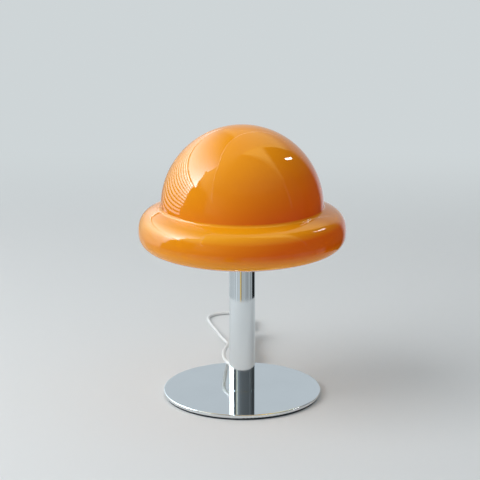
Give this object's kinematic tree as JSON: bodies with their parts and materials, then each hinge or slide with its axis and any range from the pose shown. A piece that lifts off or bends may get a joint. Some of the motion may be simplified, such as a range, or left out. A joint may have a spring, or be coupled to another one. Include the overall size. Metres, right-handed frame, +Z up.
{
  "type": "mushroom table lamp",
  "caption": "Table lamp with a domed glass shade and rolled brim, on a polished tube stem and a round disc base, with lampholder, bulb, lead, inline switch and plug.",
  "frame": {"origin": "centre of the base pad's underside, on the surface that the lamp stands on", "axes": "+Z up along the stem, -Y to the front, +X to the right as seen from the front; the lead leaves to the rear"},
  "size_m": [0.3, 0.5389, 0.4022],
  "materials": {
    "pad": "matt black foam rubber",
    "polished_steel": "mirror polished",
    "screw_steel": "zinc plated",
    "plug_steel": "turned",
    "brass": "plain",
    "white_lacquer": "satin",
    "soft_ring": "satin",
    "orange_glass": "opaque, blown and fire polished",
    "white_plastic": "satin gloss",
    "porcelain": "glazed",
    "tin": "soldered",
    "black_ceramic": "gloss",
    "bulb_aluminium": "satin",
    "bulb_glass": "clear",
    "inner_glass": "clear",
    "filament": "matt yellow coating",
    "white_cord": "satin PVC",
    "core_sleeve": "satin PVC",
    "nickel": "nickel plated",
    "sleeve_plastic": "satin"
  },
  "bodies": {
    "lamp": {"base_pad": "pad", "base_plate": "polished_steel", "foot_screw": "screw_steel", "stem_foot": "plug_steel", "stem_tube": "polished_steel", "stem_head": "plug_steel", "hollow_nipple": "brass", "shade_carrier": "white_lacquer", "seat_ring": "soft_ring", "nipple_washer": "screw_steel", "nipple_nut": "screw_steel", "holder_base": "white_plastic", "holder_shell": "white_plastic", "holder_insert": "porcelain", "holder_thread": "brass", "centre_contact": "brass", "terminals": "brass", "terminal_screws": "screw_steel", "inner_lead": "white_cord", "lead_cores": "core_sleeve", "cord_bush": "white_cord", "cord_lamp_stretch": "white_cord", "switch_case_lower": "white_plastic", "switch_case_upper": "white_plastic", "switch_screws": "screw_steel", "rocker_pin": "screw_steel", "switch_contacts": "brass", "cord_hank_stretch": "white_cord", "cord_hank": "white_cord", "hank_tie": "white_cord", "cord_plug_stretch": "white_cord", "plug_body": "white_plastic", "plug_pins": "nickel", "plug_sleeves": "sleeve_plastic"},
    "shade": {"shade": "orange_glass"},
    "bulb_thread": {"bulb_tip": "tin"},
    "bulb": {"bulb_insulator": "black_ceramic", "bulb_cap": "bulb_aluminium", "bulb_glass": "bulb_glass", "bulb_mount": "inner_glass", "bulb_filaments": "filament"},
    "rocker": {"switch_rocker": "white_plastic", "switch_bridge": "brass"}
  },
  "joints": [
    {"name": "shade_lift", "type": "slide", "parent": "lamp", "child": "shade", "axis": [0, 0, 1], "range_m": [0, 0.165]},
    {"name": "bulb_rise", "type": "slide", "parent": "lamp", "child": "bulb_thread", "axis": [0, 0, 1], "range_m": [0, 0.024]},
    {"name": "bulb_turn", "type": "hinge", "parent": "bulb_thread", "child": "bulb", "pos_m": [0, 0, 0.27], "axis": [0, 0, 1], "range_deg": [0, 2340]},
    {"name": "switch_rock", "type": "hinge", "parent": "lamp", "child": "rocker", "pos_m": [0.007, 0.315, 0.013], "axis": [1, 0, 0], "range_deg": [-16, 0]}
  ],
  "couplings": [
    {"joint": "bulb_rise", "follows": "bulb_turn", "m_per_rad": 0.00057773}
  ]
}
